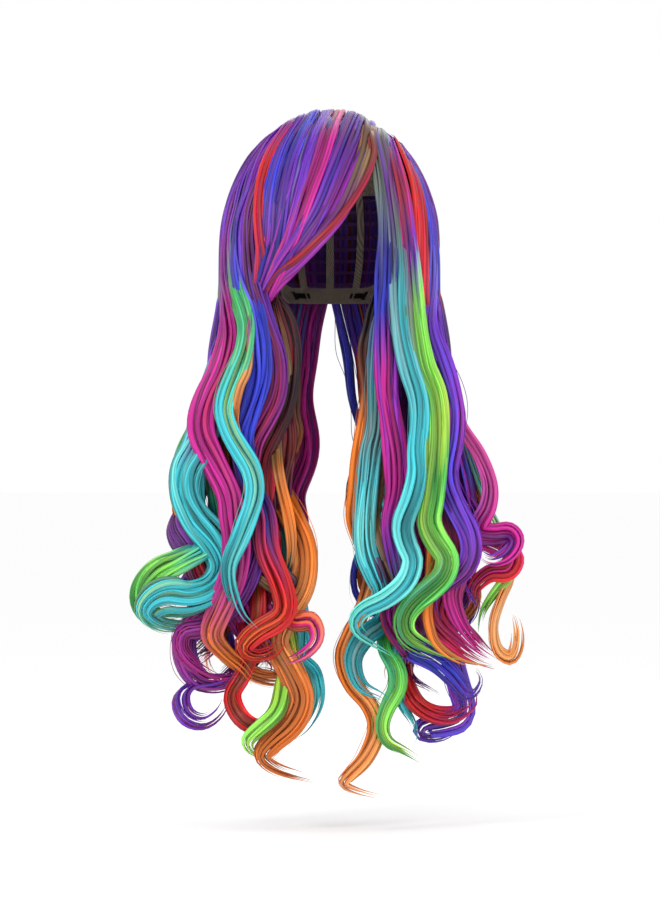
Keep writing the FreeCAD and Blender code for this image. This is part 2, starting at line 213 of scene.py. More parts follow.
# ---- meshes
class Bundle:
    """Gathers closed tubes, with a colour and a strand coordinate at each point, into one mesh."""

    def __init__(self):
        self.points, self.faces, self.tints, self.uvs, self.count = [], [], [], [], 0

    def tube(self, rings, tints, lengths, girth, offset):
        """rings is (sections, corners, 3); the first and last sections close to a point."""
        n, m = rings.shape[:2]
        first, last = rings[0].mean(0), rings[-1].mean(0)
        self.points += [rings.reshape(-1, 3), first[None], last[None]]
        self.tints += [np.repeat(tints, m, axis=0), tints[:1], tints[-1:]]
        i, j = np.meshgrid(np.arange(n - 1), np.arange(m), indexing="ij")
        i, j = i.ravel(), j.ravel()
        k = (j + 1) % m
        base = self.count
        quads = np.stack([i * m + j, i * m + k, (i + 1) * m + k, (i + 1) * m + j], axis=1) + base
        u0, u1 = offset + girth * j / m, offset + girth * (j + 1) / m
        v0, v1 = lengths[i], lengths[i + 1]
        quad_uv = np.stack([np.stack([u0, v0], 1), np.stack([u1, v0], 1),
                            np.stack([u1, v1], 1), np.stack([u0, v1], 1)], axis=1)
        self.faces.append(quads)
        self.uvs.append(quad_uv.reshape(-1, 2))
        ring = np.arange(m)
        after = (ring + 1) % m
        top = np.stack([after, ring, np.full(m, n * m)], axis=1) + base
        end = np.stack([ring, after, np.full(m, 1)], axis=1) + base
        end[:, :2] += (n - 1) * m
        end[:, 2] = base + n * m + 1
        for caps, v in ((top, lengths[0]), (end, lengths[-1])):
            self.faces.append(caps)
            u = offset + girth * ring / m
            self.uvs.append(np.stack([np.stack([u, np.full(m, v)], 1)] * 3, axis=1).reshape(-1, 2))
        self.count += n * m + 2

    def build(self, name, material):
        points = np.concatenate(self.points) * MM
        mesh = bpy.data.meshes.new(name)
        loops = np.concatenate([f.ravel() for f in self.faces])
        sizes = np.concatenate([np.full(len(f), f.shape[1]) for f in self.faces])
        starts = np.concatenate([[0], np.cumsum(sizes)[:-1]])
        mesh.vertices.add(len(points))
        mesh.vertices.foreach_set("co", points.astype(np.float32).ravel())
        mesh.loops.add(len(loops))
        mesh.loops.foreach_set("vertex_index", loops.astype(np.int32))
        mesh.polygons.add(len(sizes))
        mesh.polygons.foreach_set("loop_start", starts.astype(np.int32))
        mesh.polygons.foreach_set("loop_total", sizes.astype(np.int32))
        mesh.update(calc_edges=True)
        tint = mesh.color_attributes.new("tint", "FLOAT_COLOR", "POINT")
        rgba = np.concatenate([np.concatenate(self.tints), np.ones((len(points), 1))], axis=1)
        tint.data.foreach_set("color", rgba.astype(np.float32).ravel())
        layer = mesh.uv_layers.new(name="strand")
        layer.data.foreach_set("uv", (np.concatenate(self.uvs) * MM).astype(np.float32).ravel())
        mesh.polygons.foreach_set("use_smooth", np.ones(len(sizes), bool))
        mesh.validate()
        mesh.materials.append(material)
        piece = bpy.data.objects.new(name, mesh)
        bpy.context.scene.collection.objects.link(piece)
        return piece


def gradient(names, s):
    """The named colours, spread evenly along s and softly blended."""
    stops = np.array([COLOUR[name] for name in names.split()])
    at = np.linspace(0, 1, len(stops))
    return np.stack([np.interp(s, at, stops[:, k]) for k in range(3)], axis=1)


def corkscrew(path, across, out, run, curl):
    """The path wound round itself from about its middle. curl is a radius, a pitch and a first angle."""
    radius, pitch, first = curl
    share = np.clip((run / run[-1] - 0.42) / 0.5, 0, 1) ** 1.3
    turn = 2 * np.pi * run / pitch + first
    return path + (across * np.cos(turn)[:, None] + out * np.sin(turn)[:, None]) * (share * radius)[:, None]


def along_lock(here, s, values):
    """Values given at the sections s of a lock, read at the places here."""
    return np.stack([np.interp(here, s, values[:, k]) for k in range(3)], axis=1)


def lock(name, route, width, thick, colours, accents, family, strays=4, curl=None, wander=1.0, pointed=False):
    """One lock: a bundle of wisps about a route, each with its own place, wave, colour and length.

    A pointed lock starts from a point under its neighbours. The order of the random draws is part of
    the look."""
    rng = np.random.default_rng(zlib.crc32(name.encode()))
    path, length = smooth_route(route)
    across, out = frames_along(path)
    s = np.linspace(0, 1, RINGS)
    run = s * length
    if curl:
        path = corkscrew(path, across, out, run, curl)
        across, out = frames_along(path)
    wide = np.interp(s, (0, 0.12, 0.45, 0.8, 0.92, 1), (0.4 if pointed else 0.9, 1.0, 1.0, 1.05, 0.8, 0.4))
    deep = np.interp(s, (0, 0.15, 0.4, 1), (0.8, 0.8, 1.0, 1.0))
    taper = np.clip(1 - ((s - 0.84) / 0.16).clip(0, 1) ** 1.5, 0.05, 1)
    taper = (taper * np.clip(s / (0.12 if pointed else 0.05), 0.1, 1))[:, None]
    wisps = max(4, round(width / WISP_PITCH))
    bundle = Bundle()
    for w in range(wisps + strays):
        stray = w >= wisps
        starts, ends = STRAY_SPAN if stray else WISP_SPAN
        side = rng.uniform(*STRAY_SIDE) if stray else -1 + 2 * (w + 0.5) / wisps
        side += rng.uniform(*SIDE_JITTER)
        rise = rng.uniform(*RISE) * math.sqrt(max(0.1, 1 - min(1, abs(side)) ** 2))
        sway = rng.uniform(*SWAY) * (STRAY_SWAY if stray else wander)
        period = rng.uniform(*SWAY_PERIOD)
        phase = rng.uniform(0, 6.28, 2)
        swing = 2 * np.pi * run / period
        u = side + sway * np.sin(swing + phase[0])
        v = rise + 0.6 * sway * np.sin(1.3 * swing + phase[1])
        end = rng.uniform(*ends)
        start = rng.uniform(*starts)
        here = start + (end - start) * s
        centre = path + across * (u * width / 2 * wide)[:, None] + out * (v * thick / 2 * deep)[:, None]
        half_x = STRAY_HALF if stray else width / wisps * rng.uniform(*OVERLAP)
        half_y = STRAY_HALF if stray else min(thick * 0.24, half_x * 0.5) * rng.uniform(*THICKNESS)
        corners = STRAY_SIDES if stray else SIDES
        twist = (rng.uniform(*TWIST) + 0.3 * np.sin(swing / 1.7 + phase[1]))[:, None]
        theta = 2 * np.pi * np.arange(corners) / corners
        first_ridges, last_ridges = rng.uniform(*RIDGES, (2, corners)) * (not stray)
        drift = 0.5 + 0.5 * np.sin(2 * np.pi * run / 160 + phase[0])[:, None]
        ridge = 1 + first_ridges * drift + last_ridges * (1 - drift)
        x, y = np.cos(theta) * ridge * half_x * taper, np.sin(theta) * ridge * half_y * taper
        x, y = x * np.cos(twist) - y * np.sin(twist), x * np.sin(twist) + y * np.cos(twist)
        rings = (along_lock(here, s, centre)[:, None] + along_lock(here, s, across)[:, None] * x[..., None]
                 + along_lock(here, s, out)[:, None] * y[..., None])
        shift = np.clip(here + rng.uniform(*COLOUR_SHIFT), 0, 1)
        tint = gradient(colours, shift)
        if rng.random() < ACCENT_SHARE:
            tint = (1 - ACCENT_STRENGTH) * tint + ACCENT_STRENGTH * gradient(accents, shift)
        tint = np.clip(tint * rng.uniform(*SHADES), 0, 1)
        bundle.tube(rings, tint, run * (end - start), 2 * np.pi * half_x, rng.uniform(0, 500))
    piece = bundle.build(name, HAIR_MATERIAL[family])
    return piece


# ---- materials
def shader(name, roughness, **constants):
    material = bpy.data.materials.new(name)
    material.use_nodes = True
    tree = material.node_tree
    principled = tree.nodes["Principled BSDF"]
    principled.inputs["Roughness"].default_value = roughness
    for socket, value in constants.items():
        principled.inputs[socket.replace("_", " ")].default_value = value
    return material, tree, principled


def node(tree, kind, **values):
    made = tree.nodes.new(kind)
    for key, value in values.items():
        if key in made.inputs:
            made.inputs[key].default_value = value
        else:
            setattr(made, key, value)
    return made


def hair_material(name, roughness, contrast):
    """Synthetic fibre: the lock's own colour, in fine streaks of light and dark along the strands."""
    material, tree, principled = shader(name, roughness, Specular_IOR_Level=0.42, Anisotropic=0.6)
    link = tree.links.new
    uv = node(tree, "ShaderNodeUVMap", uv_map="strand")
    both = node(tree, "ShaderNodeMath", operation="ADD")
    for k, (scale, detail, rough) in enumerate((((1100, 9, 1), 3.0, 0.6), ((330, 5, 1), 2.0, 0.5))):
        mapping = node(tree, "ShaderNodeMapping")
        mapping.inputs["Scale"].default_value = scale
        link(uv.outputs["UV"], mapping.inputs["Vector"])
        noise = node(tree, "ShaderNodeTexNoise", Detail=detail, Roughness=rough, Scale=1.0)
        link(mapping.outputs["Vector"], noise.inputs["Vector"])
        link(noise.outputs["Fac"], both.inputs[k])
    level = node(tree, "ShaderNodeMapRange")
    level.inputs["From Min"].default_value = 0.8
    level.inputs["From Max"].default_value = 1.2
    level.inputs["To Min"].default_value = 1.0 - contrast
    level.inputs["To Max"].default_value = 1.0 + contrast
    link(both.outputs["Value"], level.inputs["Value"])
    tint = node(tree, "ShaderNodeVertexColor", layer_name="tint")
    shade = node(tree, "ShaderNodeVectorMath", operation="SCALE")
    link(tint.outputs["Color"], shade.inputs[0])
    link(level.outputs["Result"], shade.inputs["Scale"])
    link(shade.outputs["Vector"], principled.inputs["Base Color"])
    bump = node(tree, "ShaderNodeBump", Strength=0.55, Distance=0.0009)
    link(both.outputs["Value"], bump.inputs["Height"])
    link(bump.outputs["Normal"], principled.inputs["Normal"])
    tangent = node(tree, "ShaderNodeTangent", direction_type="UV_MAP", uv_map="strand")
    link(tangent.outputs["Tangent"], principled.inputs["Tangent"])
    return material


HAIR_MATERIAL = {
    family: hair_material(f"hair_{family}", roughness, contrast)
    for family, roughness, contrast in (
        ("violet", 0.42, 0.60), ("blue", 0.42, 0.58), ("magenta", 0.42, 0.56), ("red", 0.42, 0.54),
        ("orange", 0.44, 0.50), ("turquoise", 0.44, 0.48), ("green", 0.44, 0.50))
}


def cloth_material(name, low, high, scale, stretch, roughness, kind, depth):
    """Cap textiles: weave, knitted net or ribs, in the piece's own coordinates."""
    material, tree, principled = shader(name, roughness)
    link = tree.links.new
    place = node(tree, "ShaderNodeTexCoord")
    mapping = node(tree, "ShaderNodeMapping")
    mapping.inputs["Scale"].default_value = (1, 1, stretch)
    link(place.outputs["Object"], mapping.inputs["Vector"])
    if kind == "net":
        pattern = node(tree, "ShaderNodeTexVoronoi", feature="DISTANCE_TO_EDGE", Scale=scale)
        height = pattern.outputs["Distance"]
    else:
        pattern = node(tree, "ShaderNodeTexWave", wave_type="BANDS", bands_direction="DIAGONAL", Scale=scale,
                       Distortion=1.2)
        height = pattern.outputs["Fac"]
    link(mapping.outputs["Vector"], pattern.inputs["Vector"])
    grain = node(tree, "ShaderNodeTexNoise", Scale=scale * 0.7, Detail=3.0)
    link(mapping.outputs["Vector"], grain.inputs["Vector"])
    ramp = node(tree, "ShaderNodeValToRGB")
    ramp.color_ramp.elements[0].color = (*linear(low), 1)
    ramp.color_ramp.elements[1].color = (*linear(high), 1)
    ramp.color_ramp.elements[1].position = 0.16 if kind == "net" else 0.8
    link(height, ramp.inputs["Fac"])
    mix = node(tree, "ShaderNodeMix", data_type="RGBA", blend_type="MULTIPLY")
    mix.inputs["Factor"].default_value = 0.5
    link(ramp.outputs["Color"], mix.inputs["A"])
    link(grain.outputs["Color"], mix.inputs["B"])
    link(mix.outputs["Result"], principled.inputs["Base Color"])
    bump = node(tree, "ShaderNodeBump", Strength=0.6, Distance=depth)
    link(height, bump.inputs["Height"])
    link(bump.outputs["Normal"], principled.inputs["Normal"])
    return material


# The cap's materials: the pattern's low and high colours, its scale, how its scale along z compares,
# roughness, kind of pattern, and depth of its relief in metres.
CAP_MATERIALS = {
    "cap_net": ((206, 190, 172), (150, 134, 118), 420, 1, 0.85, "net", 0.0006),
    "cap_cloth": ((176, 158, 140), (214, 198, 180), 500, 1.6, 0.8, "weave", 0.0006),
    "elastic": ((150, 134, 118), (200, 184, 166), 300, 0.1, 0.8, "weave", 0.0006),
    "weft_thread": ((60, 26, 90), (120, 60, 150), 700, 0.05, 0.6, "weave", 0.0006),
    "parting_skin": ((206, 168, 146), (222, 190, 170), 900, 1, 0.55, "net", 0.0002),
    "stay": ((214, 210, 200), (228, 226, 218), 200, 0.1, 0.4, "weave", 0.0001),
    "hook_plastic": ((18, 18, 20), (26, 26, 28), 600, 1, 0.35, "net", 0.0001),
}


def dress_cap():
    """Gives each cap node that stays its own textile or plastic."""
    materials = {name: cloth_material(name, *look) for name, look in CAP_MATERIALS.items()}
    slots = {part["node"]: part["material_slot"] for part in frame["record"]["subparts"]}
    for name, obj in frame["nodes"].items():
        material = materials.get(slots.get(name))
        if material is None:
            continue
        if not obj.material_slots:
            obj.data.materials.append(material)
        for place in obj.material_slots:
            place.material = material


# ---- crown hair under the locks
def reach_of(ways, half, centre=(0, 0, 0)):
    """How far an ellipsoid's surface is from the origin along each unit vector."""
    d, c = ways / half, np.asarray(centre, float) / half
    a, b, k = (d * d).sum(-1), -(d * c).sum(-1), (c * c).sum() - 1
    return (-b + np.sqrt(b * b - a * k)) / a


def directions(elevation, azimuth):
    """Unit vectors at these angles, which are broadcast together."""
    flat = np.cos(elevation)
    return np.stack([flat * np.cos(azimuth), flat * np.sin(azimuth), np.sin(elevation)], axis=-1)


def hairline(azimuth):
    """The lowest elevation of the crown hair at an azimuth, where it meets the rim or hangs."""
    angles = np.radians(np.linspace(89, -60, 300))
    d = directions(angles, azimuth)
    p = d * (reach_of(d, CAP)[:, None] + 4)
    behind = (p[:, 1] > RIM_TOP[0] + (RIM_TOP[1] - p[:, 2]) * RIM_SLOPE) & (p[:, 2] > HAIR_LOW)
    stop = np.argmin(behind) if not behind.all() else len(angles)
    return angles[max(1, stop - 1)]


BASE_COLUMNS = 220  # ridges round the crown base
BASE_ROWS = 36  # sections from the top of the head to the hem
BASE_SHARE = 0.26  # how far its outside is from the cap to the hair's outer surface
BASE_COLOURS = ("violet", "navy", "plum", "indigo", "violet", "maroon", "navy", "plum")


def crown_base():
    """The mass of hair next to the cap: one closed shell with fine ridges, seen between the locks."""
    rng = np.random.default_rng(11)
    azimuths = 2 * np.pi * np.arange(BASE_COLUMNS) / BASE_COLUMNS
    low = np.array([hairline(a) for a in azimuths])
    ridge = rng.uniform(-1.0, 1.0, BASE_COLUMNS)
    f = np.linspace(0.03, 1, BASE_ROWS)[:, None]
    d = directions(np.pi / 2 - f * (np.pi / 2 - low[None, :]), azimuths)
    cap = reach_of(d, CAP)
    full = np.maximum(reach_of(d, HAIR, HAIR_CENTRE), cap + 6)
    outer = d * (cap + BASE_SHARE * (full - cap) + 0.8 * ridge[None, :] * np.clip(f * 2, 0, 1))[..., None]
    inner = d * (cap + 0.5)[..., None]
    # One ring goes down the outside, round the hem and back up the inside, so the shell is closed.
    rings = np.concatenate([outer, inner[::-1]])
    bundle = Bundle()
    # The base is coloured darker than the palette, at 0.6 at its two ends and 0.55 round its sides: painted
    # shade of the hair deep between the locks.
    ends = 0.6 * gradient("violet indigo indigo", np.linspace(0, 1, 2 * BASE_ROWS))
    bundle.tube(rings, ends, np.linspace(0, 260, 2 * BASE_ROWS), 620, 0)
    chosen = rng.integers(0, len(BASE_COLOURS), BASE_COLUMNS)
    # Painted shade: each column's colour at 0.55 of the palette.
    bundle.tints[0] = np.tile([0.55 * COLOUR[BASE_COLOURS[k]] for k in chosen], (2 * BASE_ROWS, 1))
    return bundle.build("crown_base", HAIR_MATERIAL["violet"])


# ---- the locks
# Fringe locks go over the forehead from the top of the head to the right temple. Each is a name,
# front-view points (x, z), lift, width, colours, accents and family of colour.
FRINGE = [
    ("edge", [(41, 90), (43, 70), (33, 42), (14, 12), (-8, -12), (-31, -33), (-50, -47), (-62, -64),
     (-68, -84)],
     0.984, 6, "plum brown crimson crimson maroon crimson", "olive maroon red", "red"),
    ("olive", [(38, 98), (34, 74), (25, 47), (11, 14), (-10, -13), (-34, -37), (-54, -56), (-67, -80)],
     0.972, 12, "plum brown olive plum plum maroon", "violet peach plum crimson", "orange"),
    ("violet", [(36, 105), (27, 78), (14, 45), (-2, 11), (-20, -16), (-40, -40), (-58, -62), (-69, -86)],
     0.974, 16, "indigo violet plum violet indigo", "blue plum magenta", "violet"),
    ("plum", [(25, 111), (14, 82), (2, 48), (-12, 14), (-28, -14), (-46, -40), (-62, -64), (-71, -88)],
     0.976, 16, "indigo plum violet plum violet", "blue violet", "violet"),
    ("magenta", [(8, 117), (0, 93), (-8, 66), (-19, 34), (-30, 2), (-42, -28), (-56, -57), (-70, -86)],
     0.977, 16, "crimson magenta magenta magenta plum", "plum pink", "magenta"),
    ("steel", [(-8, 116), (-17, 94), (-26, 66), (-34, 34), (-42, 4), (-51, -26), (-61, -55), (-72, -84)],
     0.976, 16, "indigo violet violet plum violet", "steel navy", "violet"),
    ("blue", [(-20, 113), (-32, 86), (-42, 55), (-48, 22), (-53, -10), (-58, -38), (-66, -62), (-74, -86)],
     0.976, 16, "violet blue violet navy indigo", "blue navy", "blue"),
    ("outer", [(-31, 108), (-46, 80), (-56, 48), (-61, 18), (-63, -12), (-66, -40), (-71, -66), (-77, -90)],
     0.975, 16, "violet violet blue plum indigo", "plum navy", "violet"),
    ("red", [(-42, 101), (-58, 74), (-67, 46), (-70, 18), (-69, -8), (-67, -32), (-70, -60), (-77, -86)],
     0.981, 10, "violet plum red red crimson indigo", "plum crimson", "red"),
]

# Hanging locks of the front, the foremost first: name, x of the root on top of the head or None where
# the lock starts under the outer hair, front-view points (x, z), (y at the top, y at the tip), width,
# thickness, colours, accents and family of colour.
# The black at the tops of the inner locks by the temples and cheeks, on both sides, is painted shade of the
# hair tucked under the fringe and the outer locks.
RIGHT = [
    ("turquoise", -24, [(-92, 20), (-98, -8), (-97, -38), (-92, -64), (-85, -86), (-82, -102), (-85, -124),
     (-93, -145), (-101, -166), (-104, -183), (-98, -204), (-88, -222), (-77, -242), (-74, -267), (-86, -304),
     (-100, -340), (-90, -380), (-72, -400)],
     (-76, -90), 15, 9, "plum plum violet plum green mint aqua aqua aqua teal teal",
     "violet violet mint lime pale aqua", "turquoise"),
    ("peach_strand", None, [(-78, -80), (-80, -138), (-88, -160), (-93, -182), (-94, -198), (-86, -226),
     (-80, -262), (-88, -300)],
     (-84, -86), 6, 6, "violet peach orange peach orange", "peach", "orange"),
    ("blue", -18, [(-80, 34), (-89, 6), (-90, -26), (-85, -58), (-76, -82), (-70, -112), (-69, -143),
     (-74, -166), (-81, -188), (-87, -212), (-82, -250), (-66, -285), (-62, -320), (-48, -356), (-46, -384),
     (-72, -402), (-86, -418), (-70, -426), (-50, -416), (-46, -396)],
     (-78, -80), 20, 12, "violet plum violet blue blue blue navy red red red",
     "violet violet navy sky blue navy crimson red orange red", "blue"),
    ("magenta", -30, [(-103, 8), (-106, -22), (-106, -54), (-103, -84), (-101, -108), (-109, -139),
     (-121, -165), (-128, -188), (-127, -208), (-117, -230), (-101, -264), (-97, -290), (-93, -312),
     (-95, -346), (-108, -378), (-118, -404), (-104, -424), (-86, -438), (-74, -454)],
     (-50, -92), 22, 11, "plum plum plum plum magenta magenta magenta magenta magenta orange orange",
     "violet plum crimson pink orange", "magenta"),
    ("violet", -10, [(-66, 48), (-77, 18), (-80, -12), (-78, -46), (-72, -72), (-61, -104), (-53, -128),
     (-52, -150), (-56, -171), (-67, -193), (-78, -216), (-80, -250), (-70, -290), (-76, -330), (-92, -368),
     (-122, -395), (-145, -400), (-148, -420), (-130, -439), (-104, -450), (-84, -440)],
     (-80, -74), 19, 11, "violet violet plum violet plum magenta violet plum magenta magenta",
     "violet maroon maroon crimson violet magenta", "magenta"),
    # Its black top, and the black in its accents, are painted shade where the fringe lies over it.
    ("temple_black", None, [(-62, -50), (-55, -72), (-45, -90), (-39, -111), (-37, -132), (-39, -154),
     (-45, -181), (-56, -206), (-68, -236), (-66, -280), (-56, -320), (-62, -356)],
     (-52, -62), 17, 10, "black black black maroon red red", "maroon black crimson", "red"),
    ("ringlet_front", None, [(-98, -70), (-106, -120), (-118, -170), (-130, -215), (-143, -240), (-144, -264),
     (-133, -289), (-114, -313), (-105, -336), (-115, -357), (-137, -366), (-160, -364), (-176, -371),
     (-182, -384), (-166, -396), (-140, -397)],
     (-34, -74), 28, 12, "violet violet plum aqua aqua aqua aqua aqua pale", "aqua pale teal lime",
     "turquoise"),
    ("ringlet_back", None, [(-100, -60), (-110, -130), (-124, -190), (-136, -245), (-134, -285), (-124, -316),
     (-146, -330), (-171, -343), (-184, -364), (-179, -383), (-158, -391), (-134, -390), (-112, -376),
     (-104, -356)],
     (-22, -62), 26, 12, "violet plum violet aqua aqua aqua apple green pale pale",
     "violet plum violet teal aqua lime green lime lime", "turquoise"),
    ("olive", None, [(-56, -70), (-46, -124), (-43, -150), (-46, -172), (-52, -194), (-54, -216), (-50, -250),
     (-42, -285), (-38, -320), (-44, -350)],
     (-74, -78), 8, 7, "maroon olive olive orange olive", "brown olive orange", "orange"),
    # The black at the top of its accents is painted shade of the tucked hair.
    ("cheek_red", None, [(-58, -60), (-50, -96), (-45, -120), (-45, -142), (-50, -168), (-57, -193),
     (-62, -224), (-62, -258), (-68, -290), (-64, -330), (-48, -364), (-38, -390), (-18, -390), (-13, -408),
     (-28, -424), (-52, -434)],
     (-66, -86), 15, 10, "maroon maroon crimson red red red magenta magenta",
     "black maroon crimson red orange plum", "red"),
    # Its black top, and the black at the top of its accents, are painted shade of the tucked hair.
    ("cheek_orange", None, [(-58, -60), (-48, -110), (-42, -150), (-42, -188), (-38, -206), (-48, -228),
     (-53, -258), (-38, -288), (-26, -318), (-28, -354), (-43, -384), (-54, -412), (-40, -442), (-29, -468),
     (-38, -492), (-58, -510), (-68, -524), (-52, -538), (-14, -549)],
     (-60, -74), 21, 11, "black black brown orange orange peach orange orange orange",
     "black brown orange peach orange brown orange", "orange"),
    # Its black top is painted shade of the tucked hair.
    ("low_green", None, [(-62, -60), (-68, -150), (-70, -230), (-60, -310), (-48, -380), (-40, -424),
     (-46, -452), (-52, -478), (-70, -496), (-82, -509), (-74, -522), (-44, -526)],
     (-56, -84), 14, 9, "black navy blue teal green lime apple lime", "green lime", "green"),
    ("red_ring", None, [(-70, -60), (-78, -150), (-84, -230), (-78, -300), (-70, -360), (-74, -410),
     (-86, -446), (-97, -466), (-86, -488), (-66, -495), (-49, -480), (-46, -458), (-58, -443), (-78, -440)],
     (-50, -88), 13, 8, "violet crimson maroon red red red crimson", "orange maroon", "red"),
    # Its black top is painted shade of the tucked hair.
    ("inner_turquoise", None, [(-56, -60), (-54, -150), (-56, -230), (-44, -310), (-32, -370), (-28, -410),
     (-30, -430), (-16, -444), (-12, -470), (-24, -496), (-40, -508)],
     (-50, -74), 15, 9, "black maroon violet teal aqua aqua aqua", "teal pale", "turquoise"),
    ("outer_green", -38, [(-107, -20), (-108, -60), (-110, -110), (-120, -160), (-136, -196), (-149, -224),
     (-155, -252), (-154, -272), (-147, -292), (-140, -316), (-150, -338)],
     (-10, -36), 18, 10, "plum violet plum violet lime apple green green apple", "violet plum green lime",
     "green"),
    ("mid_green", None, [(-100, -60), (-104, -120), (-110, -160), (-114, -182), (-117, -200), (-120, -240),
     (-112, -290), (-120, -340)],
     (-36, -50), 13, 8, "violet plum green green teal orange", "green", "green"),
    ("low_magenta", None, [(-92, -60), (-100, -140), (-112, -220), (-112, -290), (-100, -340), (-112, -378),
     (-134, -396), (-145, -412), (-140, -436), (-124, -452), (-96, -450), (-78, -436)],
     (-44, -70), 26, 12, "violet plum violet indigo magenta magenta plum magenta", "magenta navy", "magenta"),
    ("low_orange", None, [(-84, -60), (-92, -140), (-102, -220), (-98, -300), (-106, -356), (-118, -392),
     (-106, -422), (-86, -438), (-66, -448), (-40, -448), (-24, -434)],
     (-54, -82), 20, 11, "red crimson maroon orange orange orange peach", "red orange", "orange"),
    ("low_violet", None, [(-88, -60), (-98, -150), (-106, -230), (-100, -310), (-106, -380), (-96, -432),
     (-94, -448), (-116, -456), (-138, -456), (-149, -468), (-142, -486), (-124, -492), (-108, -480),
     (-102, -463)],
     (-40, -76), 22, 10, "violet violet navy violet blue violet violet plum", "blue sky magenta", "violet"),
    ("behind_orange", None, [(-96, -60), (-104, -130), (-116, -190), (-124, -232), (-114, -270), (-110, -296),
     (-120, -334), (-106, -372)],
     (-24, -44), 19, 10, "maroon crimson orange orange orange brown", "orange peach", "orange"),
    ("outer_red", None, [(-104, -60), (-114, -130), (-130, -190), (-150, -240), (-154, -280), (-148, -296),
     (-140, -318), (-150, -346)],
     (0, -20), 11, 8, "plum magenta red red", "crimson", "red"),
]
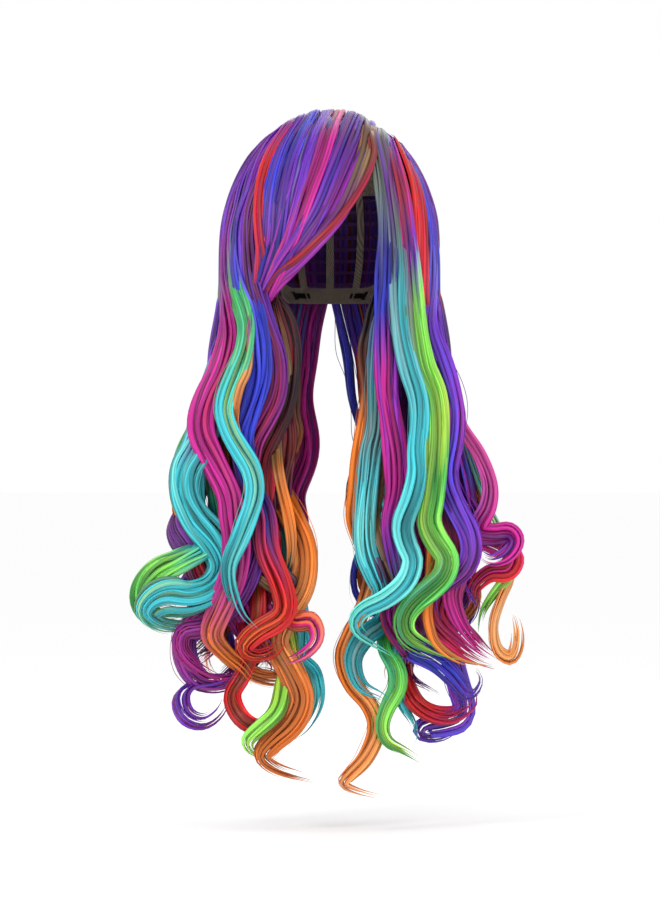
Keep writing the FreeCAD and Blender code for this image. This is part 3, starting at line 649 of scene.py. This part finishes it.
LEFT = [
    ("turquoise", 47, [(50, 84), (56, 60), (61, 24), (65, -16), (67, -48), (68, -80), (71, -113), (78, -143),
     (86, -168), (88, -191), (85, -221), (86, -246), (80, -271), (71, -296), (75, -316), (81, -331),
     (74, -352), (54, -369), (35, -378), (25, -389), (28, -401), (44, -412), (70, -428)],
     (-86, -90), 16, 10, "steel steel plum steel aqua aqua aqua aqua teal aqua aqua pale",
     "violet indigo steel aqua pale mint", "turquoise"),
    ("light_green", 50, [(56, 92), (64, 60), (72, 24), (77, -16), (80, -48), (83, -80), (86, -105),
     (93, -138), (103, -165), (106, -191), (106, -221), (104, -246), (101, -271), (98, -293), (106, -312),
     (116, -328), (112, -346), (98, -360), (82, -374), (74, -388), (76, -403), (90, -414), (114, -425),
     (140, -430)],
     (-80, -86), 20, 11, "violet plum crimson violet apple apple lime green apple green apple lime",
     "indigo red plum green lime mint green", "green"),
    ("cheek_blue", 44, [(47, 84), (51, 60), (55, 24), (57, -16), (56, -48), (54, -80), (55, -113), (56, -138),
     (56, -165), (60, -196), (65, -229), (66, -263), (60, -296), (66, -330), (70, -360), (60, -384)],
     (-84, -76), 18, 11, "peach olive steel navy blue magenta magenta magenta violet green",
     "steel steel navy violet magenta violet", "blue"),
    ("orange_band", None, [(84, -60), (94, -160), (104, -250), (100, -320), (96, -376), (98, -396),
     (106, -415), (129, -431), (160, -437)],
     (-44, -84), 8, 6, "violet plum red orange orange peach", "orange", "orange"),
    ("violet_edge", 56, [(70, 84), (88, 50), (99, 12), (102, -30), (101, -60), (98, -88), (101, -110),
     (110, -134), (118, -158), (123, -184), (121, -210), (115, -238), (117, -260), (127, -282), (137, -304),
     (139, -324), (131, -342), (114, -356), (102, -372), (110, -392)],
     (-56, -82), 20, 11, "indigo sky blue sky violet violet plum violet violet plum violet",
     "violet violet blue plum", "violet"),
    ("red", 53, [(66, 90), (78, 62), (86, 34), (90, -8), (89, -44), (88, -74), (92, -110), (102, -142),
     (110, -170), (112, -200), (107, -232), (112, -270), (122, -305), (126, -340), (120, -366), (128, -392),
     (144, -414), (160, -428)],
     (-64, -72), 20, 10, "indigo red red red crimson maroon plum violet indigo crimson magenta magenta",
     "violet crimson red plum maroon magenta", "red"),
    ("fan", None, [(90, -60), (98, -160), (110, -240), (120, -300), (116, -350), (108, -382), (124, -404),
     (146, -423), (166, -434)],
     (-50, -66), 34, 11, "violet maroon indigo plum maroon crimson magenta", "crimson magenta red",
     "magenta"),
    ("pink_curl", None, [(102, -60), (110, -130), (126, -190), (148, -226), (159, -256), (157, -280),
     (147, -300), (162, -304), (179, -303), (185, -314), (175, -327), (158, -332), (144, -322)],
     (-16, -50), 18, 11, "violet plum magenta pink pink magenta magenta magenta", "crimson pink blue",
     "magenta"),
    ("curl_low", None, [(104, -60), (112, -150), (130, -220), (142, -270), (146, -306), (166, -318),
     (182, -326), (176, -342), (158, -344), (142, -360), (146, -382)],
     (-10, -40), 17, 10, "violet magenta crimson blue magenta red crimson", "magenta", "magenta"),
    ("outer_green", None, [(104, -60), (114, -150), (136, -220), (158, -280), (177, -314), (184, -329),
     (178, -346), (169, -357), (158, -372), (151, -386), (148, -404)],
     (-2, -44), 13, 8, "violet plum teal blue aqua lime apple green", "green lime", "green"),
    ("peach_curl", None, [(102, -60), (116, -160), (138, -240), (160, -300), (180, -340), (170, -370),
     (162, -396), (165, -420), (178, -429), (185, -418), (185, -398), (180, -383), (176, -392)],
     (-14, -54), 14, 8, "plum crimson red orange orange peach peach peach", "peach orange", "orange"),
    ("deep_blue", 58, [(80, 66), (98, 24), (104, -20), (105, -60), (107, -110), (115, -160), (126, -198),
     (142, -211), (151, -227), (148, -242), (138, -263), (132, -286), (140, -318)],
     (-16, -50), 17, 9, "violet violet blue violet navy blue navy blue", "violet navy", "blue"),
    # Its black top is painted shade of the tucked hair.
    ("inner_pale", None, [(54, -60), (48, -130), (46, -196), (41, -222), (38, -250), (34, -288), (35, -320),
     (44, -346), (50, -364), (40, -392)],
     (-66, -72), 17, 10, "black blue teal steel aqua pale aqua teal", "steel aqua", "turquoise"),
    ("inner_olive", None, [(58, -60), (52, -140), (50, -210), (46, -262), (44, -286), (49, -306), (56, -332),
     (60, -356)],
     (-72, -76), 10, 7, "maroon olive brown olive brown", "peach steel", "orange"),
    ("grey_turquoise", None, [(62, -60), (58, -140), (54, -210), (51, -262), (60, -285), (68, -306),
     (72, -330), (60, -356), (52, -372)],
     (-62, -70), 16, 9, "navy violet olive steel aqua green green", "aqua green", "green"),
    ("mid_magenta", None, [(74, -60), (76, -140), (84, -220), (82, -264), (86, -290), (94, -310), (98, -333),
     (86, -351), (70, -368), (63, -388), (70, -410)],
     (-68, -80), 18, 10, "violet indigo plum violet magenta magenta plum", "crimson indigo", "magenta"),
    # Its black top is painted shade of the tucked hair; the orange below is its own colour.
    ("cheek_black", None, [(50, -50), (43, -97), (37, -122), (38, -143), (40, -163), (36, -196), (31, -229),
     (28, -263), (25, -290), (34, -325), (44, -355)],
     (-58, -64), 16, 10, "black black brown orange orange orange peach", "maroon brown orange orange",
     "orange"),
    ("violet_strand", None, [(60, -70), (66, -130), (70, -163), (75, -196), (73, -230), (67, -264),
     (65, -284)],
     (-74, -78), 10, 7, "violet violet steel violet", "magenta", "violet"),
    ("inner_teal", None, [(56, -60), (58, -160), (62, -240), (60, -310), (62, -360), (54, -391), (36, -405),
     (23, -425), (25, -445), (34, -458), (50, -465), (60, -474)],
     (-50, -78), 15, 9, "blue violet teal navy teal teal aqua", "aqua steel", "turquoise"),
    ("low_green", None, [(66, -60), (70, -160), (76, -250), (68, -330), (58, -386), (54, -416), (65, -437),
     (66, -457), (56, -476), (51, -494), (56, -510), (72, -519), (89, -529)],
     (-46, -80), 15, 9, "violet maroon violet teal green green green apple lime", "lime teal green", "green"),
    ("low_teal", None, [(70, -60), (74, -160), (82, -250), (80, -330), (72, -400), (64, -444), (72, -474),
     (82, -491), (84, -506), (78, -517)],
     (-40, -70), 9, 7, "violet navy teal teal aqua", "teal", "turquoise"),
    # Its black top is painted shade of the tucked hair.
    ("tail_orange", None, [(50, -60), (43, -130), (40, -190), (42, -260), (48, -320), (36, -372), (22, -405),
     (15, -427), (22, -453), (37, -470), (46, -487), (46, -504), (34, -527), (17, -544), (13, -552),
     (30, -560), (50, -565)],
     (-56, -80), 15, 9, "black black brown orange brown orange orange orange orange", "orange peach",
     "orange"),
    ("low_blue", None, [(80, -60), (90, -160), (98, -250), (88, -330), (66, -384), (62, -404), (80, -418),
     (106, -431), (124, -448), (138, -464), (149, -450), (142, -438)],
     (-40, -74), 22, 10, "violet navy indigo navy navy blue blue plum", "magenta blue", "blue"),
    ("low_red", None, [(78, -60), (86, -160), (94, -240), (86, -310), (78, -370), (72, -420), (74, -448),
     (84, -470), (103, -483), (124, -484), (142, -472), (136, -456)],
     (-50, -84), 22, 10, "violet violet maroon plum red red red magenta", "crimson magenta red", "red"),
    ("low_violet", None, [(88, -60), (98, -170), (110, -250), (104, -330), (112, -400), (126, -450),
     (133, -482), (116, -491), (94, -496), (92, -504), (114, -503), (136, -488)],
     (-40, -76), 24, 10, "blue violet navy violet plum violet indigo", "plum blue", "violet"),
    ("red_strands", None, [(100, -60), (108, -150), (118, -214), (130, -238), (138, -262), (144, -290),
     (140, -318)],
     (-44, -52), 12, 6, "crimson red red red", "red orange", "red"),
]

# Back and side locks take these in turn, from the wearer's right round to the left: family of colour,
# colours and accents.
BACK_COLOURS = [
    ("violet", "plum violet plum magenta plum", "violet violet crimson"),
    ("turquoise", "violet violet teal aqua pale", "indigo violet green"),
    ("magenta", "plum plum magenta magenta pink", "violet violet magenta"),
    ("blue", "violet violet blue navy blue", "navy violet sky"),
    ("orange", "violet crimson orange orange peach", "plum red orange"),
    ("violet", "violet indigo violet plum violet", "blue navy blue"),
    ("green", "violet violet green apple lime", "plum violet teal"),
    ("red", "plum plum red crimson red", "violet magenta orange"),
]
BACK_LOCKS = 22
BACK_POINTS = 9  # of the hanging part of a back lock's route
BACK_TOP = -45.0  # z where that part starts
BACK_TIP = -452.0  # z where it ends, more or less
HEAD_REACH = 103.0  # from the middle of the head to the back locks
BACK_SIZE = (36, 14)  # width and thickness of a back lock
BACK_CURL = (13, 100)  # radius and pitch of its corkscrew


def back_locks():
    """Names, roots, routes and colours of the locks over the sides and back of the head."""
    for k in range(BACK_LOCKS):
        f = (k + 0.5) / BACK_LOCKS
        azimuth = math.radians(190 - 200 * f)
        side, behind = math.cos(azimuth), max(0.0, math.sin(azimuth))
        rng = np.random.default_rng(500 + k)
        middle = max(0.0, 1 - abs(side) * 1.6)
        away = math.copysign(1, side)
        tip = BACK_TIP + 20 * rng.uniform(-1, 1) + 22 * abs(side)
        points = []
        for g in np.linspace(0, 1, BACK_POINTS):
            z = BACK_TOP + (tip - BACK_TOP) * g
            curl = min(1.0, 2 * g)
            turn = 2.7 * math.pi * g + k
            x = HEAD_REACH * side + away * (10 * middle + (28 * abs(side) + 46 * middle) * g ** 0.7)
            x += 8 * math.sin(turn + rng.uniform(0, 0.6)) * curl
            y = HAIR_CENTRE[1] + HEAD_REACH * math.sin(azimuth) - 6 * g + 6 * math.cos(turn) * curl
            points.append(np.array([x, y, z]))
        root = over_top(-40 + 92 * f, 8 + 6 * behind, 0.94)
        yield f"back_lock_{k + 1:02d}", root, points, *BACK_COLOURS[k % len(BACK_COLOURS)]


# Filling locks hang behind the front ones, from the cheek round to the side: x at the top and at the
# tip, z of the tip, colours and family of colour.
# The indigo and maroon in their colours, and the indigo, maroon and navy accents given to them, are painted
# shade of the hair behind the front locks.
FILLERS = [
    (58, 52, -392, "indigo maroon brown olive", "orange"),
    (72, 74, -452, "indigo maroon red crimson", "red"),
    (84, 96, -470, "indigo plum magenta plum", "magenta"),
    (94, 118, -440, "indigo maroon orange brown", "orange"),
    (101, 134, -410, "violet crimson red crimson", "red"),
    (104, 150, -380, "violet violet plum violet", "violet"),
]
FILLER_POINTS = 10
FILLER_SIZE = (30, 13)
FILLER_CURL = (14, 92)
FRINGE_THICKNESS = 8


def filling_locks(side):
    """Curled locks behind the front ones, which give the hair its body."""
    for k, (top, tip, low, colours, family) in enumerate(FILLERS):
        points = []
        for g in np.linspace(0, 1, FILLER_POINTS):
            turn, curl = 3.3 * math.pi * g + 1.3 * k, min(1, 1.6 * g)
            x = top + (tip - top) * g + 9 * math.sin(turn) * curl
            y = -34 + 5.2 * k - 14 * g + 8 * math.cos(turn) * curl
            points.append(np.array([side * x, y, -50 + (low + 50) * g]))
        yield points, colours, family


def blend_hanging(piece):
    """Bakes the piece's placement into its mesh."""
    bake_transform(piece)


def make_fringe():
    pieces = []
    for name, points, lift, width, colours, accents, family in FRINGE:
        top = points[0][0]
        route = [over_top(0.85 * top + 5, 30, 0.96), over_top(0.95 * top + 2, 14, 0.975)]
        route += [on_front(x, z, lift) for x, z in points]
        piece = lock(f"fringe_{name}", route, width, FRINGE_THICKNESS, colours, accents, family, strays=3,
                     wander=0.5)
        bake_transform(piece)
        pieces.append(piece)
    return pieces


NEARNESS = 0.42  # share of two locks' sizes at which one has to be behind the other
PUSH_SPREAD = 2  # sections that a push is held past a crossing
PUSH_SOFTENING = 16  # passes that soften where it starts and ends
PUSH_FROM = (-70.0, -180.0)  # z where it starts to act, and where it acts in full


def layered(paths, widths, depths):
    """Sets each hanging lock behind the ones listed before it, where they cross in the front view."""
    settled = []
    for path, width, depth in zip(paths, widths, depths):
        path = path.copy()
        push = np.zeros(len(path))
        for other, other_width, other_depth in settled:
            gap = np.linalg.norm(path[:, None, ::2] - other[None, :, ::2], axis=2)
            behind = other[gap.argmin(axis=1), 1] + NEARNESS * (depth + other_depth) - path[:, 1]
            crosses = gap.min(axis=1) < NEARNESS * (width + other_width)
            push = np.maximum(push, np.where(crosses, behind, 0))
        for _ in range(PUSH_SPREAD):
            push[1:-1] = np.maximum(push[1:-1], np.maximum(push[:-2], push[2:]))
        for _ in range(PUSH_SOFTENING):
            push[1:-1] = 0.25 * push[:-2] + 0.5 * push[1:-1] + 0.25 * push[2:]
        acts = np.interp(-path[:, 2], (-PUSH_FROM[0], -PUSH_FROM[1]), (0, 1))
        path[:, 1] = np.minimum(path[:, 1] + push * acts, np.maximum(path[:, 1], DEEPEST_FRONT))
        settled.append((path, width, depth))
    return [path for path, *_ in settled]


def make_hanging(locks, name, side):
    """The front hair of one side: the locks of its table, and the filling locks behind them."""
    paths = []
    for _, root, points, depth, *_ in locks:
        route = front_route(points, depth)
        if root is not None:
            route = over_crown(over_top(root, 14.0), route[0]) + route
        paths.append(smooth_route(route)[0])
    paths = layered(paths, [row[4] * FULLNESS for row in locks], [row[5] for row in locks])
    made = {}
    for path, (part, root, _, _, width, thick, colours, accents, family) in zip(paths, locks):
        made[part] = lock(f"{name}_{part}", path, width * FULLNESS, thick, colours, accents, family,
                          pointed=root is None)
        blend_hanging(made[part])
    for k, (route, colours, family) in enumerate(filling_locks(side)):
        # Accents of indigo, maroon and navy: painted shade of the hair behind the front locks.
        piece = lock(f"{name}_filling_{k + 1}", route, *FILLER_SIZE, colours, "indigo maroon navy", family,
                     curl=(*FILLER_CURL, 1.9 * k))
        blend_hanging(piece)
    return made


def make_back():
    pieces = []
    for k, (name, root, points, family, colours, accents) in enumerate(back_locks()):
        route = over_crown(root, points[0]) + points
        piece = lock(name, route, *BACK_SIZE, colours, accents, family, wander=0.7,
                     curl=(*BACK_CURL, 0.75 * k))
        blend_hanging(piece)
        pieces.append(piece)
    return pieces


# Which drawn locks stand for hair nodes of the frame.
FRINGE_NODES = {0: "fringe_lower", 3: "fringe_middle", 6: "fringe_upper"}
FRONT_NODES = {
    "right": {"inner": "cheek_orange", "middle": "turquoise", "outer": "magenta"},
    "left": {"inner": "tail_orange", "middle": "turquoise", "outer": "violet_edge"},
}
BACK_NODES = ("side_lock_{}", "back_lock_{}_outer", "back_lock_{}_middle", "back_lock_{}_inner")


def dress_hair():
    """Draws all the hair, and hides the hair nodes of the frame that the drawn locks and the base stand in
    for.
    """
    base = crown_base()
    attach(base, "root")
    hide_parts("crown_hair_right", "crown_hair_left", "upper_back_hair_right", "upper_back_hair_left")
    fringe = make_fringe()
    for k, node_name in FRINGE_NODES.items():
        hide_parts(node_name)
    for name, locks, side in (("right", RIGHT, -1), ("left", LEFT, 1)):
        made = make_hanging(locks, name, side)
        for place, part in FRONT_NODES[name].items():
            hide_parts(f"front_lock_{name}_{place}")
    node_names = [pattern.format(name) for name in ("right", "left") for pattern in BACK_NODES]
    for piece, node_name in zip(make_back(), node_names):
        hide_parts(node_name)


# ---- stage
CAMERA_DISTANCE = 5.0
VIEW_HEIGHT = 0.89  # what the picture's height spans at the aim
AIM = (0.0, -0.06, -0.222)
LIT = (0.0, 0.0, -0.2)  # what the lights point at
FLOOR = (40.0, -0.60)  # half size and z


def make_stage():
    mesh = bpy.data.meshes.new("floor")
    w, z = FLOOR
    mesh.from_pydata([(-w, -w, z), (w, -w, z), (w, w, z), (-w, w, z)], [], [(0, 1, 2, 3)])
    floor = bpy.data.objects.new("floor", mesh)
    bpy.context.scene.collection.objects.link(floor)
    material, tree, principled = shader("floor", 1.0, Specular_IOR_Level=0.0)
    grain = node(tree, "ShaderNodeTexNoise", Scale=3.0)
    ramp = node(tree, "ShaderNodeValToRGB")
    ramp.color_ramp.elements[0].color = (0.97, 0.97, 0.97, 1)
    ramp.color_ramp.elements[1].color = (0.99, 0.99, 0.99, 1)
    tree.links.new(grain.outputs["Fac"], ramp.inputs["Fac"])
    tree.links.new(ramp.outputs["Color"], principled.inputs["Base Color"])
    mesh.materials.append(material)


def area_light(name, place, size, power):
    data = bpy.data.lights.new(name, "AREA")
    data.shape = "RECTANGLE"
    data.size, data.size_y = size
    data.energy = power
    lamp = bpy.data.objects.new(name, data)
    bpy.context.scene.collection.objects.link(lamp)
    lamp.location = place
    lamp.rotation_euler = (Vector(LIT) - Vector(place)).to_track_quat("-Z", "Y").to_euler()


def make_light():
    world = bpy.data.worlds.new("studio")
    bpy.context.scene.world = world
    world.use_nodes = True
    background = world.node_tree.nodes["Background"]
    background.inputs["Color"].default_value = (1, 1, 1, 1)
    background.inputs["Strength"].default_value = 1.0
    area_light("key", (-1.5, -2.4, 1.3), (0.8, 0.8), 29)
    area_light("fill", (1.8, -1.8, 0.6), (1.5, 1.5), 8)
    area_light("rim", (0.4, 2.2, 1.2), (1.4, 1.0), 8)


def make_camera():
    bpy.context.scene.view_settings.view_transform = "Standard"
    data = bpy.data.cameras.new("camera")
    data.sensor_fit = "VERTICAL"
    data.angle_y = 2 * math.atan(VIEW_HEIGHT / 2 / CAMERA_DISTANCE)
    camera = bpy.data.objects.new("camera", data)
    bpy.context.scene.collection.objects.link(camera)
    camera.location = (AIM[0], AIM[1] - CAMERA_DISTANCE, AIM[2])
    camera.rotation_euler = (math.pi / 2, 0, 0)
    bpy.context.scene.camera = camera


make_camera()
make_light()
make_stage()
dress_cap()
dress_hair()
